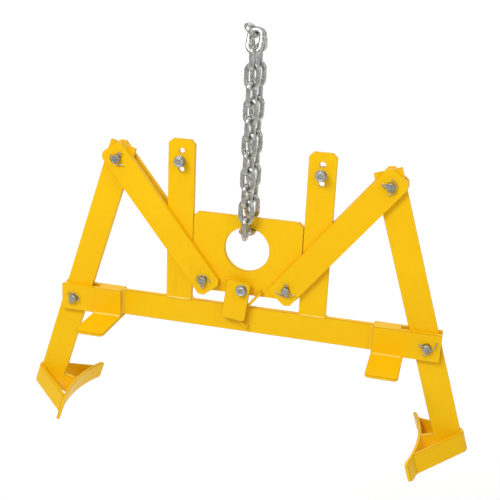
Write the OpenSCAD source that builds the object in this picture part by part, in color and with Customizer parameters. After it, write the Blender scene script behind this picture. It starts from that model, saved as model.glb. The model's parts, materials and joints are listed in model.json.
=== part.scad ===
// Self-closing lifting clamp for an upright drum: an H-shaped frame sits on the drum lid,
// a lifting plate slides between two posts, and two link pairs swing the jaw arms shut.
// X runs along the crossbar, Y is depth with the front at -Y, and Z is up.
// The origin is on the load line at the height of the chain's top link, where a hoist hook
// carries everything.

/* [Flat bar] */
// Width of the bar that the posts, links and arms are cut from
bar_w = 50; // [44:1:56]
// Thickness of that bar
bar_t = 9.5; // [8:0.5:11]
// Side gap between two plates that slide on each other
side_gap = 0.5; // [0.4:0.1:0.8]
// Corner chamfer of the bar ends
chamfer = 8; // [4:1:10]

/* [Frame] */
// Half length of the crossbar, whose ends stick in between the brackets' plates
crossbar_half = 290; // [275:1:296]
// Height of the crossbar
crossbar_h = 50; // [44:1:54]
// Distance from the middle to the near end of an end bracket
bracket_x = 242; // [231:1:246]
// Length of an end bracket along X
bracket_l = 123; // [119:1:130]
// Height of an end bracket
bracket_h = 52; // [48:1:56]
// Width of a foot plate along X
foot_w = 58; // [50:1:66]
// Length of a foot plate along Y
foot_l = 212; // [180:2:240]
// Thickness of a foot plate
foot_t = 5; // [4:0.5:8]
// Corner radius of a foot plate
foot_r = 9; // [4:1:15]
// Distance from a bracket's near end to its foot plate
foot_inset = 0; // [0:0.5:20]

/* [Posts] */
// Height of the posts above the crossbar
post_h = 305; // [290:1:320]
// Gap between the lifting plate's edge and a post
post_gap = 0.8; // [0.5:0.1:1.5]
// Height of the middle stop bolt hole above the crossbar
stop_z = 266.5; // [255:0.5:272]
// Spacing of the three stop bolt holes
stop_pitch = 17; // [15:0.5:18]
// Radius of a stop bolt hole
stop_hole_r = 5.5; // [5.2:0.1:6]

/* [Lifting plate] */
// Half width of the lifting plate
plate_half = 102.7; // [98:0.1:108]
// Height of the lifting plate
plate_h = 150; // [140:1:160]
// Gap from the crossbar up to the plate when latched open
plate_rest = 24; // [20:1:30]
// Radius of the lifting hole
hole_r = 42; // [38:1:44]
// Height of the lifting hole's centre above the plate's bottom edge
hole_up = 88; // [84:1:92]
// Distance of a link pin from the plate's centre line
plate_pin_x = 79; // [76:1:82]
// Height of a link pin above the plate's bottom edge
plate_pin_up = 22.5; // [20:0.5:25]

/* [Links and arms] */
// Pin to pin length of a link
link_len = 273; // [268:1:278]
// Length of a link beyond each pin centre
link_end = 25; // [22:1:27]
// Distance of an arm pivot from the centre line
pivot_x = 340; // [336:1:344]
// Arm length from the pivot up to the link pin
arm_up = 300.5; // [296:0.5:305]
// Arm length above the link pin
arm_end = 26; // [24:1:28]
// Arm length below the pivot
arm_down = 212; // [208:1:214]
// Radius of the pivot and link pins
pin_r = 7.5; // [6:0.25:8]

/* [Jaws] */
// Radius of the drum that the jaws fit
drum_r = 292; // [280:1:300]
// Distance from the arm's centre line to the middle of the jaw face
jaw_reach = 54; // [50:1:58]
// Distance from the pivot down to the top of the jaw
jaw_drop = 177.5; // [174:0.5:178]
// Height of the jaw
jaw_h = 37.5; // [34:0.5:38]
// Half width of the jaw plate
jaw_half = 99; // [85:1:105]
// Thickness of the jaw plate and its gussets
jaw_t = 6; // [5:0.5:8]
// Angle between a gusset and the arm's plane
gusset_angle = 36.4; // [33:0.1:38]

/* [Latch] */
// Width of the latch leaf
leaf_w = 45; // [40:1:46]
// Height of the latch leaf
leaf_h = 77; // [70:1:80]
// Thickness of the latch leaf
leaf_t = 5; // [4:0.5:6]
// Tilt of the latch leaf while it leans on its keeper
leaf_tilt = 7; // [4:0.5:9]
// Thickness of the bent keeper strip
keeper_t = 5; // [4:0.5:6]

/* [Chain] */
// Wire diameter of the chain
wire_d = 9; // [8.5:0.1:9]
// Inside length of a link, less the running gap
link_pitch = 30; // [29.5:0.1:30.5]
// Distance between the two straight sides of a link, centre to centre
link_gauge = 22; // [22:0.1:22.5]
// Upright links in each hanging strand, below its leaning end link
strand_links = 11; // [7:2:11]
// Turn of a strand's middle links about the vertical, which the strand gains over its first links
strand_turn = -17; // [-20:1:0]

/* [Hidden] */
$fn = 64;

yellow = [0.97, 0.75, 0.13];
zinc = [0.66, 0.66, 0.66];
chain_grey = [0.72, 0.73, 0.71];
eps = 0.01;

// Depth positions, measured from the middle plane of the flat bars
bar_face = bar_t / 2;
outer_near = bar_face + side_gap;
outer_far = outer_near + bar_t;

// The crossbar is as thick as the space between the two plates of a bracket
rail_face = outer_near;

// Heights above the crossbar's top edge
pivot_z = -bracket_h / 2;
plate_pin_z = plate_rest + plate_pin_up;
plate_top = plate_rest + plate_h;
hole_z = plate_rest + hole_up;
post_x = plate_half + post_gap + bar_w / 2;

// The link pin at the arm's top is where the link's and the arm's circles cross
pivot_dx = pivot_x - plate_pin_x;
pivot_dz = pivot_z - plate_pin_z;
pivot_d = norm([pivot_dx, pivot_dz]);
along = (link_len ^ 2 - arm_up ^ 2 + pivot_d ^ 2) / (2 * pivot_d);
across = sqrt(link_len ^ 2 - along ^ 2);
link_pin_x = plate_pin_x + (along * pivot_dx - across * pivot_dz) / pivot_d;
link_pin_z = plate_pin_z + (along * pivot_dz + across * pivot_dx) / pivot_d;
arm_lean = atan2(pivot_x - link_pin_x, link_pin_z - pivot_z);
link_lean = atan2(link_pin_x - plate_pin_x, link_pin_z - plate_pin_z);

// Running clearances
pin_fit = 0.05;
turn_fit = 0.1;
bush_fit = 0.3;

// The arm's upper hole is a slot, so the pin stays clear of the arm over the whole travel
slot_out = 11.6;
slot_in = 9.6;
slot_up = 1.3;
slot_r = pin_r + 1.8;

// Bolts: M10
bolt_r = 5;
bolt_af = 17;
bolt_head_t = 6.4;
bolt_nut_t = 8;
washer_r = 10.5;
washer_t = 1.7;
bush_r = 8;
bush_proud = 0.45;
bush_l = outer_far - bar_face + bush_proud;
hex_round = 0.9;
bolt_chamfer = 1;
bolt_tail = 4;

// Clevis pins and split pins
pin_head_r = 11;
pin_head_t = 5;
pin_head_gap = 0.4;
pin_tail = 10;
pin_chamfer = 1.5;
split_r = 1.5;
split_hole_r = 1.8;
split_back = 5.5;
split_leg = 13;
split_eye_r = 2.7;
split_eye_up = pin_r + 4;
split_wire = 0.8 * split_r;
split_root = pin_r + 2.2;

// How far each split pin is turned from eye up, and how far its two legs are bent
pivot_turn = [150, -68];
plate_turn = [180, 3];
link_turn = [-33, -80];
pivot_legs = [[-112, 112], [-59, 112]];
plate_legs = [[-112, 112], [-112, 112]];
link_legs = [[-112, 112], [-112, 112]];

// Chain link
wire_r = wire_d / 2;
bend_r = link_gauge / 2;
chain_gap = 0.3;
link_inner = link_pitch + chain_gap;
link_straight = link_inner + wire_d - link_gauge;
end_wire = (link_inner + wire_d) / 2;
strand_y = max(end_wire + 1.45, bar_face + bend_r + wire_r + 0.35);
bottom_link_z = hole_z + sqrt((hole_r - wire_r - chain_gap) ^ 2 - bend_r ^ 2);
first_link_z = bottom_link_z - wire_d - chain_gap + end_wire;

// Each strand ends in a link that leans inwards and hangs on the lower side of the rolled top link
end_link_lean = 24;
end_link_seat = first_link_z + link_pitch * (strand_links - 1) + end_wire - wire_d - chain_gap;
end_link_crown = end_link_seat + 2 * end_wire * cos(end_link_lean);
top_link_roll = 45;
top_link_gap = 0.5;
top_link_x = -bend_r * cos(top_link_roll) - 1;
hook_z = end_link_crown - wire_d - top_link_gap + bend_r * sin(top_link_roll);

// Latch
latch_bolt_x = -2.8;
latch_bolt_z = 38.2;
leaf_edge = 15.3;
leaf_r = 6.5;
leaf_gap = 0.5;
leaf_y = outer_far + leaf_gap;
lug_r = 4;
keeper_far = leaf_y - leaf_gap;
keeper_bend = [-13, -22];
keeper_top = [33, 36];
keeper_low = [9.5, -37.7];
lug_x = -13.5;
lug_z = -11.4;
lug_gap = 1.2;

// Puts a shape that is drawn above the crossbar into the hanging frame
module hang() { translate([0, 0, -hook_z]) children(); }

// Draws a right-hand shape, and its mirror image on the left
module side(s) { if (s > 0) children(); else mirror([1, 0, 0]) children(); }

// Extrudes an outline drawn in X and Z from depth y0 to depth y1
module slab(y0, y1) {
  translate([0, y1, 0]) rotate([90, 0, 0]) linear_extrude(y1 - y0) children();
}

// A round bar along Y
module rod(r, y0, y1) { translate([0, y1, 0]) rotate([90, 0, 0]) cylinder(r = r, h = y1 - y0); }

// A rectangle with four chamfered corners
module chamfered(x0, x1, z0, z1) {
  polygon([[x0 + chamfer, z0], [x1 - chamfer, z0], [x1, z0 + chamfer], [x1, z1 - chamfer],
           [x1 - chamfer, z1], [x0 + chamfer, z1], [x0, z1 - chamfer], [x0, z0 + chamfer]]);
}

// A rectangle with rounded corners
module rounded(x0, x1, z0, z1, r) {
  translate([x0 + r, z0]) square([x1 - x0 - 2 * r, z1 - z0]);
  translate([x0, z0 + r]) square([x1 - x0, z1 - z0 - 2 * r]);
  for (x = [x0 + r, x1 - r], z = [z0 + r, z1 - r]) translate([x, z]) circle(r);
}

// ---------------------------------------------------------------- frame

module crossbar() {
  hang() color(yellow)
    translate([-crossbar_half, -rail_face, -crossbar_h])
      cube([2 * crossbar_half, 2 * rail_face, crossbar_h]);
}

module post(s) {
  hang() color(yellow) side(s) translate([post_x, 0, 0]) difference() {
    slab(-bar_face, bar_face)
      polygon([[-bar_w / 2, 0], [bar_w / 2, 0], [bar_w / 2, post_h - chamfer],
               [bar_w / 2 - chamfer, post_h], [chamfer - bar_w / 2, post_h],
               [-bar_w / 2, post_h - chamfer]]);
    for (k = [-1:1]) translate([0, 0, stop_z + k * stop_pitch]) rod(stop_hole_r, -bar_t, bar_t);
  }
}

// One of the two plates that are welded on the crossbar's end, in front where face is -1
module bracket(s, face) {
  y0 = face < 0 ? -outer_far : outer_near;
  hang() color(yellow) side(s) difference() {
    translate([bracket_x, y0, -bracket_h]) cube([bracket_l, bar_t, bracket_h]);
    translate([pivot_x, 0, pivot_z]) rod(pin_r + pin_fit, -2 * outer_far, 2 * outer_far);
  }
}

module foot_plate(s) {
  foot_x = bracket_x + foot_inset;
  hang() color(yellow) side(s) translate([0, 0, -bracket_h - foot_t])
    linear_extrude(foot_t) rounded(foot_x, foot_x + foot_w, -foot_l / 2, foot_l / 2, foot_r);
}

// One leg of the keeper: a strip of bar between two points in X and Z
module keeper_leg(a, b) {
  d = b - a;
  n = [-d[1], d[0]] / norm(d) * keeper_t / 2;
  slab(-keeper_far, -rail_face) polygon([a + n, a - n, b - n, b + n]);
}

// The bent strip is welded on the crossbar, and its upper leg stands clear of the lifting plate
module latch_keeper() {
  hang() color(yellow) {
    keeper_leg(keeper_bend, keeper_top);
    keeper_leg(keeper_bend, keeper_low);
    translate([keeper_bend[0], 0, keeper_bend[1]]) rod(keeper_t / 2, -keeper_far, -rail_face);
  }
}

// ---------------------------------------------------------------- fasteners

// Hexagon head or nut from depth y0 to depth y1
module hexagon(y0, y1) {
  translate([0, y1, 0]) rotate([90, 0, 0])
    intersection() {
      cylinder(r = bolt_af / sqrt(3), h = y1 - y0, $fn = 6);
      cylinder(r = bolt_af / 2 + hex_round, h = y1 - y0);
    }
}

// Bolt whose head starts at depth -y_head and whose shank ends at depth y_end
module bolt(y_head, y_end) {
  rod(bolt_r, -y_head - eps, y_end - bolt_chamfer);
  translate([0, y_end - bolt_chamfer, 0]) rotate([-90, 0, 0])
    cylinder(r1 = bolt_r, r2 = bolt_r - bolt_chamfer, h = bolt_chamfer);
  hexagon(-y_head - bolt_head_t, -y_head);
}

module ring(r_out, y0, y1) {
  difference() {
    rod(r_out, y0, y1);
    rod(bolt_r + bush_fit, y0 - 1, y1 + 1);
  }
}

module nut(y0) {
  difference() {
    hexagon(y0, y0 + bolt_nut_t);
    rod(bolt_r + eps, y0 - 1, y0 + bolt_nut_t + 1);
  }
}

module at_stop(s) {
  hang() side(s) translate([post_x, 0, stop_z]) children();
}

stop_head_y = bar_face + bush_l + washer_t;

module stop_bolt(s) { color(zinc) at_stop(s) bolt(stop_head_y, stop_head_y + bolt_nut_t + bolt_tail); }
module stop_nut(s) { color(zinc) at_stop(s) nut(stop_head_y); }
module stop_bushes(s) {
  color(zinc) at_stop(s) for (y = [-bar_face - bush_l, bar_face]) ring(bush_r, y, y + bush_l);
}
module stop_washers(s) {
  color(zinc) at_stop(s) for (y = [-stop_head_y, bar_face + bush_l]) ring(washer_r, y, y + washer_t);
}

// Clevis pin with its head at the rear and a drilled, chamfered tail at the front
module clevis_pin(turn) {
  tail_y = outer_far + pin_tail;
  head_y = outer_far + pin_head_gap;
  difference() {
    union() {
      rod(pin_r, -tail_y + pin_chamfer, head_y + eps);
      translate([0, -tail_y + pin_chamfer, 0]) rotate([90, 0, 0])
        cylinder(r1 = pin_r, r2 = pin_r - pin_chamfer, h = pin_chamfer);
      rod(pin_head_r, head_y, head_y + pin_head_t);
    }
    translate([0, -tail_y + split_back, 0]) rotate([0, turn, 0])
      cylinder(r = split_hole_r, h = 4 * pin_r, center = true);
  }
}

// Split pin along Z through the tail: an eye at the top and two spread legs at the bottom
module split_pin(turn, legs) {
  translate([0, -outer_far - pin_tail + split_back, 0]) rotate([0, turn, 0]) {
    translate([0, 0, -split_root]) cylinder(r = split_r, h = split_root + split_eye_up - split_eye_r);
    translate([0, 0, split_eye_up]) rotate([90, 0, 0])
      rotate_extrude($fn = 32) translate([split_eye_r, 0]) circle(split_wire, $fn = 20);
    for (a = legs)
      translate([0, 0, -split_root]) rotate([0, 180 + a, 0]) {
        cylinder(r = split_wire, h = split_leg);
        sphere(split_r, $fn = 20);
      }
  }
}

module at_pivot(s) { hang() side(s) translate([pivot_x, 0, pivot_z]) children(); }
module at_plate_pin(s) { hang() side(s) translate([plate_pin_x, 0, plate_pin_z]) children(); }
module at_link_pin(s) { hang() side(s) translate([link_pin_x, 0, link_pin_z]) children(); }

// The turns and leg angles are listed left first
function pick(list, s) = list[s > 0 ? 1 : 0];

module pivot_pin(s) { color(zinc) at_pivot(s) clevis_pin(pick(pivot_turn, s)); }
module pivot_split_pin(s) {
  color(zinc) at_pivot(s) split_pin(pick(pivot_turn, s), pick(pivot_legs, s));
}
module plate_pin(s) { color(zinc) at_plate_pin(s) clevis_pin(pick(plate_turn, s)); }
module plate_split_pin(s) {
  color(zinc) at_plate_pin(s) split_pin(pick(plate_turn, s), pick(plate_legs, s));
}
module link_pin(s) { color(zinc) at_link_pin(s) clevis_pin(pick(link_turn, s)); }
module link_split_pin(s) {
  color(zinc) at_link_pin(s) split_pin(pick(link_turn, s), pick(link_legs, s));
}

// ---------------------------------------------------------------- lifting plate and latch

module lifting_plate() {
  hang() color(yellow) difference() {
    slab(-bar_face, bar_face)
      chamfered(-plate_half, plate_half, plate_rest, plate_top);
    translate([0, 0, hole_z]) rod(hole_r, -bar_t, bar_t, $fn = 96);
    for (s = [-1, 1]) translate([s * plate_pin_x, 0, plate_pin_z]) rod(pin_r + pin_fit, -bar_t, bar_t);
    translate([latch_bolt_x, 0, latch_bolt_z]) rod(bolt_r + bush_fit, -bar_t, bar_t);
  }
}

module at_latch() { hang() translate([latch_bolt_x, 0, latch_bolt_z]) children(); }

module latch_leaf() {
  color(yellow) at_latch() rotate([0, leaf_tilt, 0]) difference() {
    slab(-leaf_y - leaf_t, -leaf_y)
      rounded(leaf_edge - leaf_w, leaf_edge, leaf_edge - leaf_h, leaf_edge, leaf_r);
    rod(bolt_r + turn_fit, -leaf_y - 2 * leaf_t, leaf_t);
  }
}

module latch_lug() {
  hang() color(zinc) translate([lug_x, 0, lug_z]) rod(lug_r, -leaf_y, -bar_face - lug_gap);
}

latch_gap = 0.3;
latch_head_y = leaf_y + leaf_t + latch_gap + washer_t;

module latch_bolt() { color(zinc) at_latch() bolt(latch_head_y, bar_face + bolt_nut_t + bolt_tail); }
module latch_bush() { color(zinc) at_latch() ring(bush_r, -leaf_y + latch_gap, -bar_face); }
module latch_washer() { color(zinc) at_latch() ring(washer_r, -latch_head_y, -latch_head_y + washer_t); }
module latch_nut() { color(zinc) at_latch() nut(bar_face); }

// ---------------------------------------------------------------- links

// One link plate, in front where face is -1 and behind where it is 1
module link_plate(s, face) {
  y0 = face < 0 ? -outer_far : outer_near;
  at_plate_pin(s) color(yellow) rotate([0, link_lean, 0]) difference() {
    slab(y0, y0 + bar_t)
      chamfered(-bar_w / 2, bar_w / 2, -link_end, link_len + link_end);
    rod(pin_r + turn_fit, -2 * outer_far, 2 * outer_far);
    translate([0, 0, link_len]) rod(pin_r + pin_fit, -2 * outer_far, 2 * outer_far);
  }
}

// ---------------------------------------------------------------- arms and jaws

// The arm's own frame: the pivot at the origin, the bar along Z and X pointing outward
module at_arm(s) { at_pivot(s) rotate([0, -arm_lean, 0]) children(); }

module arm(s) {
  color(yellow) at_arm(s) difference() {
    translate([-bar_w / 2, -bar_face, -arm_down]) cube([bar_w, bar_t, arm_down + arm_up + arm_end]);
    rod(pin_r + turn_fit, -bar_t, bar_t);
    translate([0, 0, arm_up + slot_up]) {
      for (x = [-slot_in, slot_out]) translate([x, 0, 0]) rod(slot_r, -bar_t, bar_t);
      translate([-slot_in, -bar_t, -slot_r]) cube([slot_in + slot_out, 2 * bar_t, 2 * slot_r]);
    }
  }
}

// Drum-shaped cylinder that the jaw closes on, grown by extra
module drum(extra) {
  translate([-jaw_reach - drum_r, 0, -jaw_drop - 2 * jaw_h])
    cylinder(r = drum_r + extra, h = 3 * jaw_h, $fn = 360);
}

module jaw_layer() { translate([0, 0, -jaw_drop - jaw_h]) linear_extrude(jaw_h) children(); }

module jaw_plate(s) {
  corner = 5;
  color(yellow) at_arm(s) intersection() {
    difference() {
      drum(jaw_t);
      drum(0);
    }
    translate([-jaw_reach, 0, -jaw_drop - jaw_h]) rotate([90, 0, 90])
      translate([0, 0, -bar_w]) linear_extrude(2 * bar_w)
        rounded(-jaw_half, jaw_half, 0, jaw_h, corner);
  }
}

module jaw_rib(s) {
  color(yellow) at_arm(s) difference() {
    jaw_layer() translate([-jaw_reach, -bar_face]) square([jaw_reach - bar_w / 2, bar_t]);
    drum(jaw_t);
  }
}

// Gusset from the arm's outer edge to the jaw plate, in front where face is -1
module gusset(s, face) {
  edge = bar_w / 2;
  nose = edge + 5;
  start = bar_face;
  skin = start + jaw_t / cos(gusset_angle);
  back = -jaw_reach - 20;
  rise = (edge - back) * tan(gusset_angle);
  color(yellow) at_arm(s) difference() {
    jaw_layer() mirror([0, face < 0 ? 1 : 0])
      polygon([[edge, 0], [nose, 0], [nose, 3.5], [nose - 3, skin - 2.5], [edge, skin],
               [back, skin + rise], [back, start + rise], [edge, start]]);
    drum(jaw_t);
  }
}

// ---------------------------------------------------------------- chain

// One link with its long axis along Z and its plane in X and Z
module chain_link() {
  for (x = [-bend_r, bend_r]) translate([x, 0, 0])
    cylinder(r = wire_r, h = link_straight, center = true, $fn = 24);
  for (end = [0, 180]) rotate([0, end, 0]) translate([0, 0, link_straight / 2]) rotate([90, 0, 0])
    rotate_extrude(angle = 180, $fn = 48) translate([bend_r, 0]) circle(wire_r, $fn = 24);
}

// How far a strand's link number i is turned, from none at the strand's ends
function link_spin(i) = 90 * (1 - i % 2) + strand_turn * min(i / 2, (strand_links - 1 - i) / 2, 1);

// A hanging strand: each link is turned about a quarter from the one below it
module strand(s) {
  hang() color(chain_grey) {
    for (i = [0:strand_links - 1]) translate([0, s * strand_y, first_link_z + i * link_pitch])
      rotate([0, 0, link_spin(i)]) chain_link();
    translate([0, s * strand_y, end_link_seat]) rotate([s * end_link_lean, 0, 0])
      translate([0, 0, end_wire]) chain_link();
  }
}

module chain_top_link() {
  color(chain_grey) translate([top_link_x, 0, 0]) rotate([0, top_link_roll, 0])
    rotate([90, 0, 0]) chain_link();
}

module chain_bottom_link() {
  hang() color(chain_grey) translate([0, 0, bottom_link_z]) rotate([90, 0, 0]) chain_link();
}

crossbar();
post(-1);  // post_left
post(1);  // post_right
bracket(-1, -1);  // bracket_front_left
bracket(1, -1);  // bracket_front_right
bracket(-1, 1);  // bracket_rear_left
bracket(1, 1);  // bracket_rear_right
foot_plate(-1);  // foot_plate_left
foot_plate(1);  // foot_plate_right
latch_keeper();
stop_bolt(-1);  // stop_bolt_left
stop_bolt(1);  // stop_bolt_right
stop_bushes(-1);  // stop_bushes_left
stop_bushes(1);  // stop_bushes_right
stop_washers(-1);  // stop_washers_left
stop_washers(1);  // stop_washers_right
stop_nut(-1);  // stop_nut_left
stop_nut(1);  // stop_nut_right
pivot_pin(-1);  // pivot_pin_left
pivot_pin(1);  // pivot_pin_right
pivot_split_pin(-1);  // pivot_split_pin_left
pivot_split_pin(1);  // pivot_split_pin_right
lifting_plate();
plate_pin(-1);  // plate_pin_left
plate_pin(1);  // plate_pin_right
plate_split_pin(-1);  // plate_split_pin_left
plate_split_pin(1);  // plate_split_pin_right
latch_leaf();
latch_lug();
latch_bolt();
latch_bush();
latch_washer();
latch_nut();
link_plate(-1, -1);  // link_front_left
link_plate(1, -1);  // link_front_right
link_plate(-1, 1);  // link_rear_left
link_plate(1, 1);  // link_rear_right
link_pin(-1);  // link_pin_left
link_pin(1);  // link_pin_right
link_split_pin(-1);  // link_split_pin_left
link_split_pin(1);  // link_split_pin_right
arm(-1);  // arm_left
arm(1);  // arm_right
jaw_rib(-1);  // jaw_rib_left
jaw_rib(1);  // jaw_rib_right
jaw_plate(-1);  // jaw_plate_left
jaw_plate(1);  // jaw_plate_right
gusset(-1, -1);  // gusset_front_left
gusset(1, -1);  // gusset_front_right
gusset(-1, 1);  // gusset_rear_left
gusset(1, 1);  // gusset_rear_right
chain_top_link();
strand(-1);  // chain_front_strand
strand(1);  // chain_rear_strand
chain_bottom_link();
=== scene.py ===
"""Looks of the drum lifting clamp: powder-coated flat bar, zinc-plated pins and bolts, weld seams and a steel chain.

The bars, pins, bolts and washers keep the shape that the CAD frame gives them, and get rounded edges and their own
materials. The chain, the split pins, the bolts' threads and head faces and the weld seams are modelled here, in the
same places.
"""

import json
import math

import bmesh
import bpy
from mathutils import Matrix, Vector


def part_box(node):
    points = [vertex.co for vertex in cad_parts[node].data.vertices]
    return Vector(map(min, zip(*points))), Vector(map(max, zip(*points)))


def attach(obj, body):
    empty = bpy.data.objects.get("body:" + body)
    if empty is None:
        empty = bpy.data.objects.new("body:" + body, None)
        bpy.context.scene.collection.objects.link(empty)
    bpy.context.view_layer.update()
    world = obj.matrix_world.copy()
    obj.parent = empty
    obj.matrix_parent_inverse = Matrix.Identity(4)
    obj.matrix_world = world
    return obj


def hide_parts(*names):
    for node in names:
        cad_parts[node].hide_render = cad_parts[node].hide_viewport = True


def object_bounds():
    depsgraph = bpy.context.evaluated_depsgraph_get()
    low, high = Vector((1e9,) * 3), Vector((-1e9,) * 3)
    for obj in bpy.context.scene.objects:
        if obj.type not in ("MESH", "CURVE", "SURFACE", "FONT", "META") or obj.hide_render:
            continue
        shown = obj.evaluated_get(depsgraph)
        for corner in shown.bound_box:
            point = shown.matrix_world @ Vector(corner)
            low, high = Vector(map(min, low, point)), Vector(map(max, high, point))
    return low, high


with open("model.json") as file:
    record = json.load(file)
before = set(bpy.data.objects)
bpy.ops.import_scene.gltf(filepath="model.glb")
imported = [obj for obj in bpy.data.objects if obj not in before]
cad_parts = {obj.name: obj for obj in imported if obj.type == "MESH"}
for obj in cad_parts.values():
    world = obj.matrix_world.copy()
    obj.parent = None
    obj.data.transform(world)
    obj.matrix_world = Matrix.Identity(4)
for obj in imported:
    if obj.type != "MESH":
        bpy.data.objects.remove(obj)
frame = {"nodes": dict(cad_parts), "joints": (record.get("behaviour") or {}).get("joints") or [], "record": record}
CAD_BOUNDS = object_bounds()
NODES = frame["nodes"]
RECORD = frame["record"]
SIDES = {"left": -1, "right": 1}
MM = 0.001

# Places that the frame gives, in metres
BAR_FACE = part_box("post_right")[1][1]
RAIL_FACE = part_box("crossbar")[1][1]
RAIL_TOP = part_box("crossbar")[1][2]
RAIL_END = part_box("crossbar")[1][0]
BRACKET_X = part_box("bracket_rear_right")[0][0]
BRACKET_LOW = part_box("bracket_rear_right")[0][2]
OUTER_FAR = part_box("bracket_rear_right")[1][1]
JOINT_POS = {j["name"]: Vector(j["pos_m"]) for j in frame["joints"] if j.get("pos_m")}


def node_mid(name):
    """Middle of a CAD node's box."""
    low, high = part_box(name)
    return (Vector(low) + Vector(high)) / 2


def angles(count):
    """The angles of count points, evenly round a circle."""
    return [math.tau * i / count for i in range(count)]


# ---------------------------------------------------------------- materials

YELLOW = (0.93, 0.550, 0.003, 1)
YELLOW_DEEP = (0.89, 0.500, 0.003, 1)
# Darker yellows for the rounded edges of the painted bars: painted shade, the dark outline that shade draws along the
# edges
EDGE_SHADE_YELLOW = (0.56, 0.290, 0.004, 1)
EDGE_SHADE_DEEP = (0.36, 0.170, 0.006, 1)
RUB_BROWN = (0.62, 0.31, 0.012, 1)
DIRT_BROWN = (0.30, 0.15, 0.02, 1)
WORN_BROWN = (0.33, 0.17, 0.035, 1)

# Heights of the bumps, in metres
PEEL_DEPTH = 0.00009
WAVE_DEPTH = 0.0005
TURNING_DEPTH = 0.00006


class Nodes:
    """A short way to write a node material."""

    def __init__(self, name):
        self.mat = bpy.data.materials.new(name)
        self.mat.use_nodes = True
        self.tree = self.mat.node_tree
        self.bsdf = self.tree.nodes["Principled BSDF"]
        self.coords = self.tree.nodes.new("ShaderNodeTexCoord").outputs["Object"]

    def add(self, kind, inputs=None, **settings):
        made = self.tree.nodes.new(kind)
        for key, value in settings.items():
            setattr(made, key, value)
        for key, value in (inputs or {}).items():
            self.put(made.inputs[key], value)
        return made

    def put(self, socket, value):
        """Links an output to a socket, or sets the socket's own value."""
        if isinstance(value, bpy.types.NodeSocket):
            self.tree.links.new(value, socket)
        else:
            socket.default_value = value

    def noise(self, scale, detail=3.0, rough=0.55, stretch=None, offset=(0, 0, 0)):
        where = self.coords
        if stretch or any(offset):
            inputs = {"Vector": where, "Scale": stretch or (1, 1, 1), "Location": offset}
            where = self.add("ShaderNodeMapping", inputs).outputs[0]
        inputs = {"Vector": where, "Scale": scale, "Detail": detail, "Roughness": rough}
        return self.add("ShaderNodeTexNoise", inputs).outputs["Fac"]

    def cells(self, scale):
        inputs = {"Vector": self.coords, "Scale": scale}
        return self.add("ShaderNodeTexVoronoi", inputs).outputs["Color"]

    def remap(self, value, low, high, to_low=0.0, to_high=1.0):
        inputs = {"Value": value, "From Min": low, "From Max": high, "To Min": to_low, "To Max": to_high}
        return self.add("ShaderNodeMapRange", inputs, clamp=True).outputs[0]

    def mix(self, share, a, b):
        made = self.add("ShaderNodeMix", data_type="RGBA")
        self.put(made.inputs[0], share)
        self.put(made.inputs[6], a)
        self.put(made.inputs[7], b)
        return made.outputs[2]

    def math(self, operation, a, b):
        made = self.add("ShaderNodeMath", operation=operation)
        self.put(made.inputs[0], a)
        self.put(made.inputs[1], b)
        return made.outputs[0]

    def bump(self, height, depth, below=None):
        inputs = {"Height": height, "Distance": depth, "Strength": 1.0}
        if below is not None:
            inputs["Normal"] = below
        return self.add("ShaderNodeBump", inputs).outputs[0]

    def finish(self, **sockets):
        for key, value in sockets.items():
            self.put(self.bsdf.inputs[key.replace("_", " ")], value)
        return self.mat


def darker(colour, share):
    return [c * share for c in colour[:3]] + [1]


def paint(name, base, shade, edge_wear=0.0, gloss=0.0):
    """Semi-gloss powder coat: soft colour drift, orange peel, faint rub marks and specks of dirt."""
    n = Nodes(name)
    drift = n.remap(n.noise(scale=7, detail=4), 0.3, 0.7)
    fine = n.remap(n.noise(scale=160, detail=3), 0.35, 0.65, to_high=0.35)
    colour = n.mix(drift, base, shade)
    colour = n.mix(fine, colour, darker(base, 0.93))
    streaks = n.noise(scale=22, detail=6, rough=0.7, stretch=(1, 1, 0.25), offset=(3, 1, 2))
    colour = n.mix(n.remap(streaks, 0.62, 0.74, to_high=0.30), colour, RUB_BROWN)
    specks = n.remap(n.noise(scale=420, detail=2, rough=0.5), 0.74, 0.80, to_high=0.5)
    colour = n.mix(specks, colour, DIRT_BROWN)
    if edge_wear:
        worn = n.remap(n.noise(scale=95, detail=5, rough=0.7, offset=(7, 0, 4)), 0.56, 0.66, to_high=edge_wear)
        colour = n.mix(worn, colour, WORN_BROWN)
    peel = n.bump(n.noise(scale=520, detail=2, rough=0.4), PEEL_DEPTH)
    waves = n.bump(n.noise(scale=36, detail=2, rough=0.4), WAVE_DEPTH, peel)
    rough = n.remap(n.noise(scale=60, detail=4), 0.3, 0.7, to_low=0.30, to_high=0.44)
    return n.finish(
        Base_Color=colour, Roughness=rough, Normal=waves, Coat_Weight=0.04 + gloss, Coat_Roughness=0.18,
        Specular_IOR_Level=0.12 + 0.5 * gloss)


def zinc(name, base, dull, metallic=1.0, smooth=0.24):
    """Zinc plate: grey crystals with a satin gloss, duller patches and fine turning marks."""
    n = Nodes(name)
    grain = n.add("ShaderNodeSeparateColor", {"Color": n.cells(scale=900)}).outputs[0]
    patches = n.remap(n.noise(scale=140, detail=5, rough=0.65), 0.35, 0.65)
    colour = n.mix(n.math("MULTIPLY", grain, 0.5), base, darker(base, 0.72))
    colour = n.mix(patches, colour, dull)
    marks = n.noise(scale=700, detail=2, rough=0.5, stretch=(1, 0.2, 1))
    rough = n.remap(n.noise(scale=220, detail=4), 0.3, 0.7, to_low=smooth, to_high=smooth + 0.22)
    return n.finish(
        Base_Color=colour, Roughness=rough, Metallic=metallic, Normal=n.bump(marks, TURNING_DEPTH))


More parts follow.
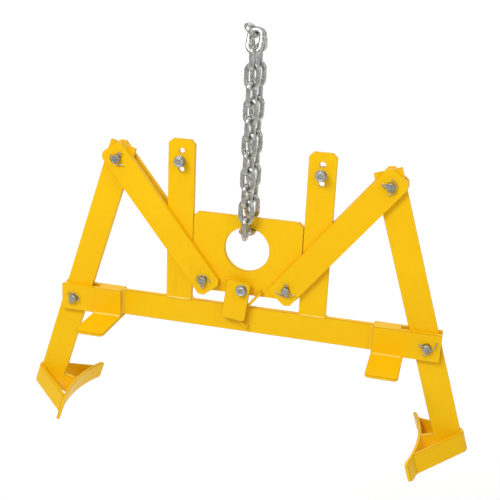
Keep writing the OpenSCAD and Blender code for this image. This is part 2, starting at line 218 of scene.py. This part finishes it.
FACE_PAINT = paint("powder_coat", YELLOW, YELLOW_DEEP)
# Painted shade: the darker paint that the painted bars' rounded edges show
EDGE_SHADE_PAINT = paint("powder_coat_edges_painted_shade", EDGE_SHADE_YELLOW, EDGE_SHADE_DEEP, edge_wear=0.55)
WELD_PAINT = paint("powder_coat_on_weld", YELLOW, YELLOW_DEEP, gloss=0.6)
PIN_ZINC = zinc("zinc_on_pins", (0.56, 0.56, 0.54, 1), (0.32, 0.32, 0.30, 1))
BOLT_ZINC = zinc("zinc_on_bolts", (0.60, 0.60, 0.585, 1), (0.34, 0.335, 0.31, 1))
# Near-white zinc for the bolts' raised rims: a painted highlight round the edge of each head
RIM_HIGHLIGHT_ZINC = zinc("zinc_on_bolt_rims_painted_highlight", (0.92, 0.92, 0.90, 1), (0.70, 0.70, 0.67, 1), metallic=0.75)
CHAIN_ZINC = zinc("zinc_on_chain", (0.72, 0.73, 0.70, 1), (0.38, 0.385, 0.355, 1), smooth=0.16)


# ---------------------------------------------------------------- the frame's own pieces

PAINTED_EDGE = 0.7 * MM
PLATED_EDGE = 0.25 * MM
MERGE_GAP = 0.00001
FLAT_ANGLE = math.radians(0.5)
SHARP_ANGLE = math.radians(32)


def modifier(obj, kind, **settings):
    made = obj.modifiers.new(kind.lower(), kind)
    for key, value in settings.items():
        setattr(made, key, value)


def dress(node, face, edge, width):
    """Gives a CAD node its material and rounds its sharp edges, which show the second material: on the painted bars a
    darker yellow, painted shade along the edges.
    """
    obj = NODES[node]
    obj.data.materials.clear()
    obj.data.materials.append(face)
    obj.data.materials.append(edge)
    modifier(obj, "WELD", merge_threshold=MERGE_GAP)
    modifier(obj, "DECIMATE", decimate_type="DISSOLVE", angle_limit=FLAT_ANGLE)
    modifier(obj, "BEVEL", width=width, segments=2, limit_method="ANGLE", angle_limit=SHARP_ANGLE,
             material=1, harden_normals=False, use_clamp_overlap=True, miter_outer="MITER_ARC")
    modifier(obj, "WEIGHTED_NORMAL", keep_sharp=False, weight=60)


PAINTED = [s["node"] for s in RECORD["subparts"] if s["material_slot"] == "yellow_paint"]
PLATED = [s["node"] for s in RECORD["subparts"] if s["material_slot"] == "zinc_plate"]
# The painted bars' rounded edges get the darker edge paint, a painted shade along every sharp edge
for node in PAINTED:
    dress(node, FACE_PAINT, EDGE_SHADE_PAINT, PAINTED_EDGE)
for node in PLATED:
    if "split_pin" not in node:
        plated = PIN_ZINC if "_pin_" in node or node == "latch_lug" else BOLT_ZINC
        dress(node, plated, plated, PLATED_EDGE)


# ---------------------------------------------------------------- mesh tools


def mesh_object(name, bm, material):
    """Turns a bmesh into a smooth object in the scene."""
    mesh = bpy.data.meshes.new(name)
    bm.to_mesh(mesh)
    bm.free()
    mesh.materials.append(material)
    for face in mesh.polygons:
        face.use_smooth = True
    obj = bpy.data.objects.new(name, mesh)
    bpy.context.scene.collection.objects.link(obj)
    return obj


def riding(name, bm, material, body):
    """Turns a bmesh, drawn in the row's frame, into a piece that rides on a body."""
    bmesh.ops.recalc_face_normals(bm, faces=bm.faces[:])
    obj = mesh_object(name, bm, material)
    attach(obj, body)
    return obj


def turn(axis, angle):
    return Matrix.Rotation(angle, 4, axis)


def circle(sides, radius):
    """A round outline for sweep. radius(i) gives its size at each point of the path."""
    return lambda i: [(radius(i) * math.cos(a), radius(i) * math.sin(a)) for a in angles(sides)]


def sweep(bm, path, outline, closed=False, normal=None):
    """Sweeps an outline along a path. outline(i) gives its points, the first number of each along the normal."""
    count = len(path)
    tangents = []
    for i in range(count):
        ahead = path[(i + 1) % count] if closed or i < count - 1 else path[i]
        behind = path[i - 1] if closed or i > 0 else path[i]
        tangents.append((ahead - behind).normalized())
    if normal is None:
        normal = tangents[0].orthogonal()
    normal = normal.normalized()
    rings = []
    for i in range(count):
        t = tangents[i]
        normal = (normal - t * normal.dot(t)).normalized()
        across = t.cross(normal)
        rings.append([bm.verts.new(path[i] + normal * a + across * b) for a, b in outline(i)])
    width = len(rings[0])
    for i in range(count if closed else count - 1):
        here, there = rings[i], rings[(i + 1) % count]
        for k in range(width):
            bm.faces.new((here[k], here[(k + 1) % width], there[(k + 1) % width], there[k]))
    if not closed:
        bm.faces.new(rings[0])
        bm.faces.new(rings[-1])


# ---------------------------------------------------------------- chain

# A link's gauge is its width between the wire's centres, and its inner length is that of its opening
WIRE_R = 4.5 * MM
WIRE_SIDES = 18
LINK_GAUGE = 22 * MM
LINK_INNER = 30.3 * MM
LINK_PITCH = 30 * MM
LINK_POINTS = 56
CHAIN_GAP = 0.3 * MM
UPRIGHT_LINKS = 11
END_WIRE = LINK_INNER / 2 + WIRE_R

# How far the middle links of a strand are turned, in degrees, the lean of its last link, and the top link's roll
STRAND_TURN = -17
END_LEAN = math.radians(24)
TOP_ROLL = math.radians(45)

# The butt weld: a swelling and a slight neck on either side, as shares of the wire and in mm along it
WIRE_SHARE = 0.995
SWELL, SWELL_WIDTH = 0.063, 2.6
NECK, NECK_AT, NECK_WIDTH = 0.0315, 4.4, 1.2


def link_path():
    """Centre line of a link, with its long axis along Z and its plane in X and Z."""
    r = LINK_GAUGE / 2
    straight = LINK_INNER + 2 * WIRE_R - LINK_GAUGE
    legs, bends = 2 * straight, math.tau * r
    path = []
    for i in range(LINK_POINTS):
        u = (legs + bends) * i / LINK_POINTS
        if u < straight:
            path.append(Vector((r, 0, u - straight / 2)))
        elif u < straight + bends / 2:
            a = (u - straight) / r
            path.append(Vector((r * math.cos(a), 0, straight / 2 + r * math.sin(a))))
        elif u < legs + bends / 2:
            path.append(Vector((-r, 0, straight * 1.5 + bends / 2 - u)))
        else:
            a = (u - legs - bends / 2) / r
            path.append(Vector((-r * math.cos(a), 0, -straight / 2 - r * math.sin(a))))
    return path


def add_link(bm, place):
    """A link with a slight swelling where its ends were welded, in the middle of one leg."""
    path = link_path()
    weld_at = min(range(len(path)), key=lambda i: abs(path[i].z) + (path[i].x < 0))

    def radius(i):
        off = (path[i] - path[weld_at]).length / MM
        swell = SWELL * math.exp(-((off / SWELL_WIDTH) ** 2))
        neck = NECK * math.exp(-(((off - NECK_AT) / NECK_WIDTH) ** 2))
        return WIRE_R * (WIRE_SHARE + swell - neck)

    sweep(bm, [place @ p for p in path], circle(WIRE_SIDES, radius), closed=True)


def chain_pieces():
    """Two strands of upright links with a leaning one at the top, and the two links that join them."""
    strand_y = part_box("chain_rear_strand")[1][1] - (LINK_GAUGE / 2 + WIRE_R)
    first_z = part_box("chain_rear_strand")[0][2] + END_WIRE + WIRE_R
    seat_z = first_z + (UPRIGHT_LINKS - 1) * LINK_PITCH + END_WIRE - 2 * WIRE_R - CHAIN_GAP
    for node, s in (("chain_front_strand", -1), ("chain_rear_strand", 1)):
        bm = bmesh.new()
        for i in range(UPRIGHT_LINKS):
            twist = STRAND_TURN * min(i / 2, (UPRIGHT_LINKS - 1 - i) / 2, 1)
            weld_side = math.pi if i % 4 > 1 else 0
            spin = turn("Z", math.radians(90 * (1 - i % 2) + twist) + weld_side)
            add_link(bm, Matrix.Translation((0, s * strand_y, first_z + i * LINK_PITCH)) @ spin)
        lean = Matrix.Translation((0, s * strand_y, seat_z)) @ turn("X", s * END_LEAN)
        add_link(bm, lean @ Matrix.Translation((0, 0, END_WIRE)))
        piece = riding(node + "_links", bm, CHAIN_ZINC, "chain")
        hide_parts(node)
    flat = turn("X", math.pi / 2)
    rolled = turn("Y", TOP_ROLL) @ flat
    for node, spin in (("chain_top_link", rolled), ("chain_bottom_link", flat)):
        bm = bmesh.new()
        add_link(bm, Matrix.Translation(node_mid(node)) @ spin)
        piece = riding(node + "_ring", bm, CHAIN_ZINC, "chain")
        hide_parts(node)


chain_pieces()


# ---------------------------------------------------------------- split pins

PIN_R = 7.5 * MM
SPLIT_R = 1.5 * MM
WIRE_HALF = 0.62 * SPLIT_R
HALF_SIDES = 12
SPLIT_EYE_R = 2.7 * MM
SPLIT_EYE_UP = PIN_R + 4 * MM
SPLIT_DEPTH = OUTER_FAR + 4.5 * MM
EYE_ARC = math.radians(150)
EYE_STEPS = 10
NECK_DROP = 0.9 * MM
HOLE_TOP = PIN_R - 0.5 * MM
HOLE_STEPS = 6
HALF_GAP = 0.2 * MM
KNEE_STEPS = 7

# A leg bends round the pin at this radius, then springs back or straightens out over its length
WRAP_R = PIN_R + 1.9 * MM
LEG_LENGTH = 20.5 * MM
LEG_STEP = 0.6 * MM
SHARP_BEND = 100
SPRING_BACK, SPRING_OUT = math.radians(-14), math.radians(26)
SPRING_RATE = 2.2

# The wire tapers over its last two points, counted from the end
TIP_SIZES = (0.45, 0.85)

# For each split pin: its body, how far it is turned from eye up, and the bends of its left and right legs
SPLIT_PINS = {
    "pivot_split_pin_left": ("frame", -150, 140, 158),
    "pivot_split_pin_right": ("frame", -68, 148, 62),
    "plate_split_pin_left": ("plate", 180, 150, 172),
    "plate_split_pin_right": ("plate", 3, 116, 126),
    "link_split_pin_left": ("links_left", 33, 190, 132),
    "link_split_pin_right": ("links_right", -80, 146, 152)}


def split_path(side, bend):
    """Half of the wire in its own plane: from the top of the eye, through the hole, and out along a bent leg."""
    half = 0.5 * SPLIT_R
    path = []
    for i in range(EYE_STEPS + 1):
        a = math.pi / 2 - i * EYE_ARC / EYE_STEPS
        path.append(Vector((side * SPLIT_EYE_R * math.cos(a), 0, SPLIT_EYE_UP + SPLIT_EYE_R * math.sin(a))))
    path.append(Vector((side * (half + HALF_GAP), 0, SPLIT_EYE_UP - SPLIT_EYE_R - NECK_DROP)))
    for i in range(HOLE_STEPS + 1):
        path.append(Vector((side * half, 0, HOLE_TOP - 2 * PIN_R * i / HOLE_STEPS)))
    knee = WRAP_R - PIN_R - HALF_GAP
    first = math.radians(min(bend, 90))
    start = path[-1] + Vector((0, 0, -HALF_GAP))
    for i in range(1, KNEE_STEPS + 1):
        a = first * i / KNEE_STEPS
        path.append(start + Vector((side * knee * (1 - math.cos(a)), 0, -knee * math.sin(a))))
    left, heading = LEG_LENGTH - knee * first, first
    wrap = math.radians(max(0, bend - 90))
    spring = SPRING_BACK if bend > SHARP_BEND else SPRING_OUT
    turned = 0.0
    while left > 0:
        if turned < wrap:
            turned += LEG_STEP / WRAP_R
            heading += LEG_STEP / WRAP_R
        else:
            heading += spring * LEG_STEP / LEG_LENGTH * SPRING_RATE
        path.append(path[-1] + Vector((side * math.sin(heading), 0, -math.cos(heading))) * LEG_STEP)
        left -= LEG_STEP
    return path


def split_pins():
    """Split pins of round wire, doubled in the hole, with their legs bent back round the pin."""
    for node, (body, degrees, *bends) in SPLIT_PINS.items():
        pin = node_mid(node.replace("_split", ""))
        place = Matrix.Translation((pin.x, -SPLIT_DEPTH, pin.z)) @ turn("Y", math.radians(degrees))
        bm = bmesh.new()
        for side, bend in zip((-1, 1), bends):
            path = [place @ p for p in split_path(side, bend)]
            sizes = {len(path) - 1 - k: size for k, size in enumerate(TIP_SIZES)}
            sweep(bm, path, circle(HALF_SIDES, lambda i: WIRE_HALF * sizes.get(i, 1.0)))
        piece = riding(node + "_wire", bm, PIN_ZINC, body)
        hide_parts(node)


split_pins()


# ---------------------------------------------------------------- bolt threads and heads

THREADED = {"stop_bolt_left": ("stop_nut_left", "frame"), "stop_bolt_right": ("stop_nut_right", "frame"),
            "latch_bolt": ("latch_nut", "plate")}
THREAD_R = 4.75 * MM
THREAD_PITCH = 1.5 * MM
THREAD_RIDGE = 0.34 * MM
THREAD_SIDES = 6
THREAD_SHORT = 1.3 * MM
THREAD_STEPS = 28
HEAD_RIM_R = 6.9 * MM
HEAD_RIM = 0.75 * MM
RIM_SIDES = 8
RIM_POINTS = 48
FACE_RINGS = 8
FACE_POINTS = 40
FACE_CROWN = 0.25 * MM
FACE_LUMP = 0.22 * MM
FACE_SUNK = 0.3 * MM


def threads():
    """A helical ridge on each bolt's tail, from inside the nut to just short of the chamfer."""
    for bolt, (nut, body) in THREADED.items():
        mid = node_mid(nut)
        start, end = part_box(nut)[1][1] - THREAD_PITCH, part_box(bolt)[1][1] - THREAD_SHORT
        steps = int((end - start) / THREAD_PITCH * THREAD_STEPS)
        path = []
        for i in range(steps + 1):
            a = math.tau * i / THREAD_STEPS
            path.append(Vector((mid.x + THREAD_R * math.cos(a), start + (end - start) * i / steps,
                                mid.z + THREAD_R * math.sin(a))))
        bm = bmesh.new()
        sweep(bm, path, circle(THREAD_SIDES, lambda i: THREAD_RIDGE * (0.5 if i > steps - 3 else 1.0)))
        riding(bolt + "_thread", bm, BOLT_ZINC, body)


def bolt_rim(mid, front):
    """A raised ring round the front of a bolt's head."""
    bm = bmesh.new()
    ring = [Vector((mid.x + HEAD_RIM_R * math.cos(a), front, mid.z + HEAD_RIM_R * math.sin(a)))
            for a in angles(RIM_POINTS)]
    sweep(bm, ring, circle(RIM_SIDES, lambda i: HEAD_RIM), closed=True)
    return bm


def bolt_face(mid, front, seed):
    """A lumpy, hammered disc inside the rim, closed at the back by a cone sunk in the head."""
    bm = bmesh.new()
    middle = bm.verts.new((mid.x, front - FACE_CROWN, mid.z))
    rings = []
    for j in range(1, FACE_RINGS + 1):
        radius = HEAD_RIM_R * j / FACE_RINGS
        ring = []
        for a in angles(FACE_POINTS):
            lump = math.sin(5 * a + seed) * math.sin(j * 1.3 + 2 * seed) + 0.6 * math.sin(9 * a - 2 * seed + j)
            high = FACE_LUMP * (1 + 0.9 * lump) * (1 - (j / FACE_RINGS) ** 6)
            ring.append(bm.verts.new((mid.x + radius * math.cos(a), front - high, mid.z + radius * math.sin(a))))
        rings.append(ring)
    back = bm.verts.new((mid.x, front + FACE_SUNK, mid.z))
    for i in range(FACE_POINTS):
        after = (i + 1) % FACE_POINTS
        bm.faces.new((middle, rings[0][i], rings[0][after]))
        for here, there in zip(rings, rings[1:]):
            bm.faces.new((here[i], there[i], there[after], here[after]))
    for i in range(FACE_POINTS):
        bm.faces.new((rings[-1][(i + 1) % FACE_POINTS], rings[-1][i], back))
    return bm


def bolt_heads():
    """A raised rim, coloured brighter than the head as a painted highlight, and a lumpy middle on the front of each
    bolt's head.
    """
    for k, (bolt, (nut, body)) in enumerate(THREADED.items()):
        mid, front = node_mid(nut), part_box(bolt)[0][1]
        riding(bolt + "_rim", bolt_rim(mid, front), RIM_HIGHLIGHT_ZINC, body)
        riding(bolt + "_face", bolt_face(mid, front, k), BOLT_ZINC, body)


threads()
bolt_heads()


# ---------------------------------------------------------------- weld seams

# The arm as the CAD has it: its lean at rest, and the jaw's place in the arm's own frame
ARM_LEAN = math.radians(17.678)
JAW_DROP = 177.5 * MM
JAW_H = 37.5 * MM
JAW_REACH = 54 * MM
JAW_T = 6 * MM
BAR_W = 50 * MM

# The keeper strip's thickness, and how far its bend and its lower tip lie below the crossbar's top
KEEPER_T = 5 * MM
KEEPER_BEND_DOWN = 22 * MM
KEEPER_TIP_X = 9.5 * MM
KEEPER_TIP_DOWN = 37.7 * MM

# A seam has a point every 0.55 mm, a ripple every 2.6 mm, and ends that taper over 1.6 mm
SEAM_STEP = 0.55 * MM
RIPPLE_PITCH = 2.6 * MM
SEAM_TAPER = 1.6 * MM
SEAM_FLAT = 0.62
SEAM_SIDES = 14

# Most seams stop this far short of the edge's end, and have their middle this far off the corner
SHORT = 1 * MM
OFF = 0.2 * MM

# The length of each fillet's leg
POST_FACE_LEG = 2.3 * MM
POST_CORNER_LEG = 4.6 * MM
BRACKET_END_LEG = 5.2 * MM
BRACKET_TOP_LEG = 1.5 * MM
FOOT_LEG = 3.4 * MM
RAIL_END_LEG = 2.6 * MM
KEEPER_LEG = 2.0 * MM
RIB_LEG = 2.6 * MM
GUSSET_LEG = 2.2 * MM
RIB_ARM_LEG = 1.6 * MM
OUTER_TOP_LEG = 2.8 * MM
INNER_TOP_LEG = 2.0 * MM


def seam(bm, a, b, up, size, seed):
    """A fillet of overlapping ripples from a to b. up points out of the corner, size is the leg's length."""
    a, b, up = Vector(a), Vector(b), Vector(up).normalized()
    run = b - a
    length = run.length
    steps = max(6, int(length / SEAM_STEP))
    path = [a + run * (i / steps) for i in range(steps + 1)]

    def outline(i):
        at = i / steps * length
        wave = (at / RIPPLE_PITCH + 0.35 * math.sin(at * 410 + seed)) % 1.0
        ripple = 1.0 + 0.10 * math.sqrt(max(0.0, 1 - (2 * wave - 1) ** 2)) + 0.04 * math.sin(at * 233 + seed * 2.1)
        end = min(1.0, min(at, length - at) / SEAM_TAPER + 0.35)
        r = size * ripple * end
        return [(r * SEAM_FLAT * math.cos(t), r * math.sin(t)) for t in angles(SEAM_SIDES)]

    sweep(bm, path, outline, normal=up)


def welds(name, body, seams):
    bm = bmesh.new()
    for k, (a, b, up, size) in enumerate(seams):
        seam(bm, a, b, up, size, seed=k * 1.7)
    riding(name, bm, WELD_PAINT, body)


def frame_welds():
    foot_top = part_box("foot_plate_right")[1][2] + OFF
    edge = OUTER_FAR + OFF
    for side, s in SIDES.items():
        post_low, post_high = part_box(f"post_{side}")
        foot_low, foot_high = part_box(f"foot_plate_{side}")
        post_x = node_mid(f"post_{side}").x
        half = (post_high[0] - post_low[0]) / 2
        seams = []
        for y in (-1, 1):
            # the post on the crossbar: along both faces and in the two corners beside it
            face = (y * BAR_FACE, RAIL_TOP)
            seams.append(((post_x - half + SHORT, *face), (post_x + half - SHORT, *face), (0, y, 1), POST_FACE_LEG))
            x, z = post_x + y * (half + 0.3 * MM), RAIL_TOP + 0.3 * MM
            seams.append(((x, SHORT - BAR_FACE, z), (x, BAR_FACE - SHORT, z), (y, 0, 1), POST_CORNER_LEG))
            # a bracket plate on the crossbar: down its near end and along its top edge
            near = (s * (BRACKET_X - OFF), y * (RAIL_FACE + OFF))
            seams.append(((*near, RAIL_TOP - SHORT), (*near, BRACKET_LOW + 4 * MM), (-s, y, 0), BRACKET_END_LEG))
            top = (y * (RAIL_FACE + 0.6 * MM), RAIL_TOP - 0.5 * MM)
            seams.append(((s * (BRACKET_X + SHORT), *top), (s * (RAIL_END - SHORT), *top), (0, 0, 1), BRACKET_TOP_LEG))
            # a bracket plate on the foot plate
            seams.append(((foot_low[0] + 2 * MM, y * edge, foot_top), (foot_high[0] - 2 * MM, y * edge, foot_top),
                          (0, y, 1), FOOT_LEG))
        x, z = s * (RAIL_END + OFF), RAIL_TOP - 1.5 * MM
        seams.append(((x, SHORT - RAIL_FACE, z), (x, RAIL_FACE - SHORT, z), (s, 0, 1), RAIL_END_LEG))
        welds(f"frame_welds_{side}", "frame", seams)


def keeper_welds():
    """A seam along each edge of the keeper's lower leg, which lies on the crossbar's front."""
    bend_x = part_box("latch_keeper")[0][0] + KEEPER_T / 2
    bend = Vector((bend_x, -RAIL_FACE, RAIL_TOP - KEEPER_BEND_DOWN))
    tip = Vector((KEEPER_TIP_X, -RAIL_FACE, RAIL_TOP - KEEPER_TIP_DOWN))
    leg = (tip - bend).normalized()
    aside = Vector((-leg.z, 0, leg.x))
    seams = []
    for way in (-1, 1):
        shift = aside * way * (KEEPER_T / 2 + 0.1 * MM)
        seams.append((bend + shift + leg * 5 * MM, tip + shift - leg * SHORT, aside * way + Vector((0, -1, 0)),
                      KEEPER_LEG))
    welds("keeper_welds", "frame", seams)


def jaw_welds():
    low, high = -JAW_DROP - JAW_H, -JAW_DROP
    edge = BAR_W / 2
    behind_plate = -JAW_REACH + JAW_T * 0.9
    for side, s in SIDES.items():
        pivot = JOINT_POS[f"jaw_arm_{side}"]

        def arm_point(x, y, z):
            """From the arm's own frame, with X outward and Z up the bar, to the row's frame."""
            px = x * math.cos(ARM_LEAN) - z * math.sin(ARM_LEAN)
            pz = x * math.sin(ARM_LEAN) + z * math.cos(ARM_LEAN)
            return Vector((pivot.x + s * px, y, pivot.z + pz))

        def arm_seam(a, b, way, size):
            """One seam from a to b, with all three places given in the arm's own frame."""
            return arm_point(*a), arm_point(*b), arm_point(*way) - arm_point(0, 0, 0), size

        seams = []
        for y in (-1, 1):
            # the rib's faces on the curved plate, the gussets on the arm's outer edge, the rib on its inner edge
            face = y * BAR_FACE
            seams.append(arm_seam((behind_plate, face, low + 2 * MM), (behind_plate, face, high - SHORT),
                                  (1, y, 0), RIB_LEG))
            x, out = edge + 0.4 * MM, y * (BAR_FACE + 0.3 * MM)
            seams.append(arm_seam((x, out, low + SHORT), (x, out, high - SHORT), (1, 0, 0), GUSSET_LEG))
            seams.append(arm_seam((-edge, face, low + SHORT), (-edge, face, high - SHORT), (-0.3, y, 0), RIB_ARM_LEG))
        # across the arm, on the gussets' top outside it and on the rib's top inside it
        x, z = edge + 2.0 * MM, high + OFF
        seams.append(arm_seam((x, -BAR_FACE, z), (x, BAR_FACE, z), (0.4, 0, 1), OUTER_TOP_LEG))
        x = -edge - 0.5 * MM
        seams.append(arm_seam((x, SHORT - BAR_FACE, high), (x, BAR_FACE - SHORT, high), (-0.5, 0, 1), INNER_TOP_LEG))
        welds(f"jaw_welds_{side}", f"jaw_arm_{side}", seams)


frame_welds()
keeper_welds()
jaw_welds()


# ---------------------------------------------------------------- studio

# The paper: how far its floor lies below the part, half its width, and the sweep up into a wall
FLOOR_DROP = 0.9
PAPER_HALF = 16
PAPER_FRONT, PAPER_BEND, PAPER_TOP = -9, 9, 9
BEND_R = 4
BEND_STEPS = 12

# The camera, as solved from the photo, with its height above the crossbar's top
CAMERA_AZ, CAMERA_EL, CAMERA_ROLL = math.radians(13.50), math.radians(-18.80), math.radians(2.67)
CAMERA_X, CAMERA_Y, CAMERA_UP = 0.361, -1.483, 0.630
CAMERA_LENS = 63.36

# For each light: its place and its target's height above the crossbar's top, its size, and its power
LIGHTS = {
    "front_box": ((-0.7, -1.7, 1.7), 0.0, (1.2, 0.8), 34),
    "strip_box": ((1.25, -1.0, 1.0), 0.35, (0.22, 1.3), 3.4),
    "top_box": ((0.3, -0.3, 2.6), 0.0, (2.4, 1.8), 11)}
WORLD_LIGHT = 0.50


def paper():
    """White paper with a faint cloudiness, and a glow that rises towards the wall and drops towards the front."""
    n = Nodes("paper_backdrop")
    y = n.add("ShaderNodeSeparateXYZ", {"Vector": n.coords}).outputs["Y"]
    clouds = n.mix(n.noise(scale=3, detail=2), (0.87, 0.87, 0.87, 1), (0.90, 0.90, 0.90, 1))
    glow = n.math("SUBTRACT", n.remap(y, -0.1, 3.0, to_low=0.27, to_high=0.52),
                  n.remap(y, -1.0, -0.1, to_low=0.22, to_high=0.0))
    return n.finish(Base_Color=clouds, Roughness=0.9, Specular_IOR_Level=0.1, Emission_Color=(1, 1, 1, 1),
                    Emission_Strength=glow)


def backdrop():
    """A pale floor that sweeps up into a wall far behind the clamp."""
    floor_z = CAD_BOUNDS[0][2] - FLOOR_DROP
    profile = [(PAPER_FRONT, 0)]
    for i in range(BEND_STEPS + 1):
        a = i * math.pi / (2 * BEND_STEPS)
        profile.append((PAPER_BEND + BEND_R * math.sin(a), BEND_R - BEND_R * math.cos(a)))
    profile.append((PAPER_BEND + BEND_R, PAPER_TOP))
    bm = bmesh.new()
    left, right = ([bm.verts.new((x, y, floor_z + z)) for y, z in profile] for x in (-PAPER_HALF, PAPER_HALF))
    for k in range(len(profile) - 1):
        bm.faces.new((left[k], right[k], right[k + 1], left[k + 1]))
    obj = mesh_object("backdrop", bm, paper())


def softbox(name, place, target_up, size, power):
    """A rectangular light, turned towards a point above the crossbar's middle."""
    light = bpy.data.lights.new(name, "AREA")
    light.shape = "RECTANGLE"
    light.size, light.size_y = size
    light.energy = power
    obj = bpy.data.objects.new(name, light)
    place = (place[0], place[1], RAIL_TOP + place[2])
    way = Vector((0, 0, RAIL_TOP + target_up)) - Vector(place)
    obj.location = place
    obj.rotation_euler = way.to_track_quat("-Z", "Y").to_euler()
    bpy.context.scene.collection.objects.link(obj)


def camera():
    """The camera looks from the front right, a little from above, and is rolled a little."""
    az, el, roll = CAMERA_AZ, CAMERA_EL, CAMERA_ROLL
    ahead = Vector((-math.sin(az) * math.cos(el), math.cos(az) * math.cos(el), math.sin(el)))
    right = Vector((math.cos(az), math.sin(az), 0))
    up = right.cross(ahead)
    x_axis = right * math.cos(roll) + up * math.sin(roll)
    y_axis = up * math.cos(roll) - right * math.sin(roll)
    data = bpy.data.cameras.new("camera")
    data.lens = CAMERA_LENS
    data.sensor_width = 36
    data.clip_end = 100
    obj = bpy.data.objects.new("camera", data)
    obj.matrix_world = Matrix.Translation((CAMERA_X, CAMERA_Y, RAIL_TOP + CAMERA_UP)) @ Matrix(
        (x_axis, y_axis, -ahead)).transposed().to_4x4()
    bpy.context.scene.collection.objects.link(obj)
    bpy.context.scene.camera = obj


backdrop()
camera()
for light_name, settings in LIGHTS.items():
    softbox(light_name, *settings)
world = bpy.data.worlds.new("studio")
world.use_nodes = True
background = world.node_tree.nodes["Background"]
background.inputs[0].default_value = (1, 1, 1, 1)
background.inputs[1].default_value = WORLD_LIGHT
bpy.context.scene.world = world
bpy.context.scene.view_settings.view_transform = "Standard"
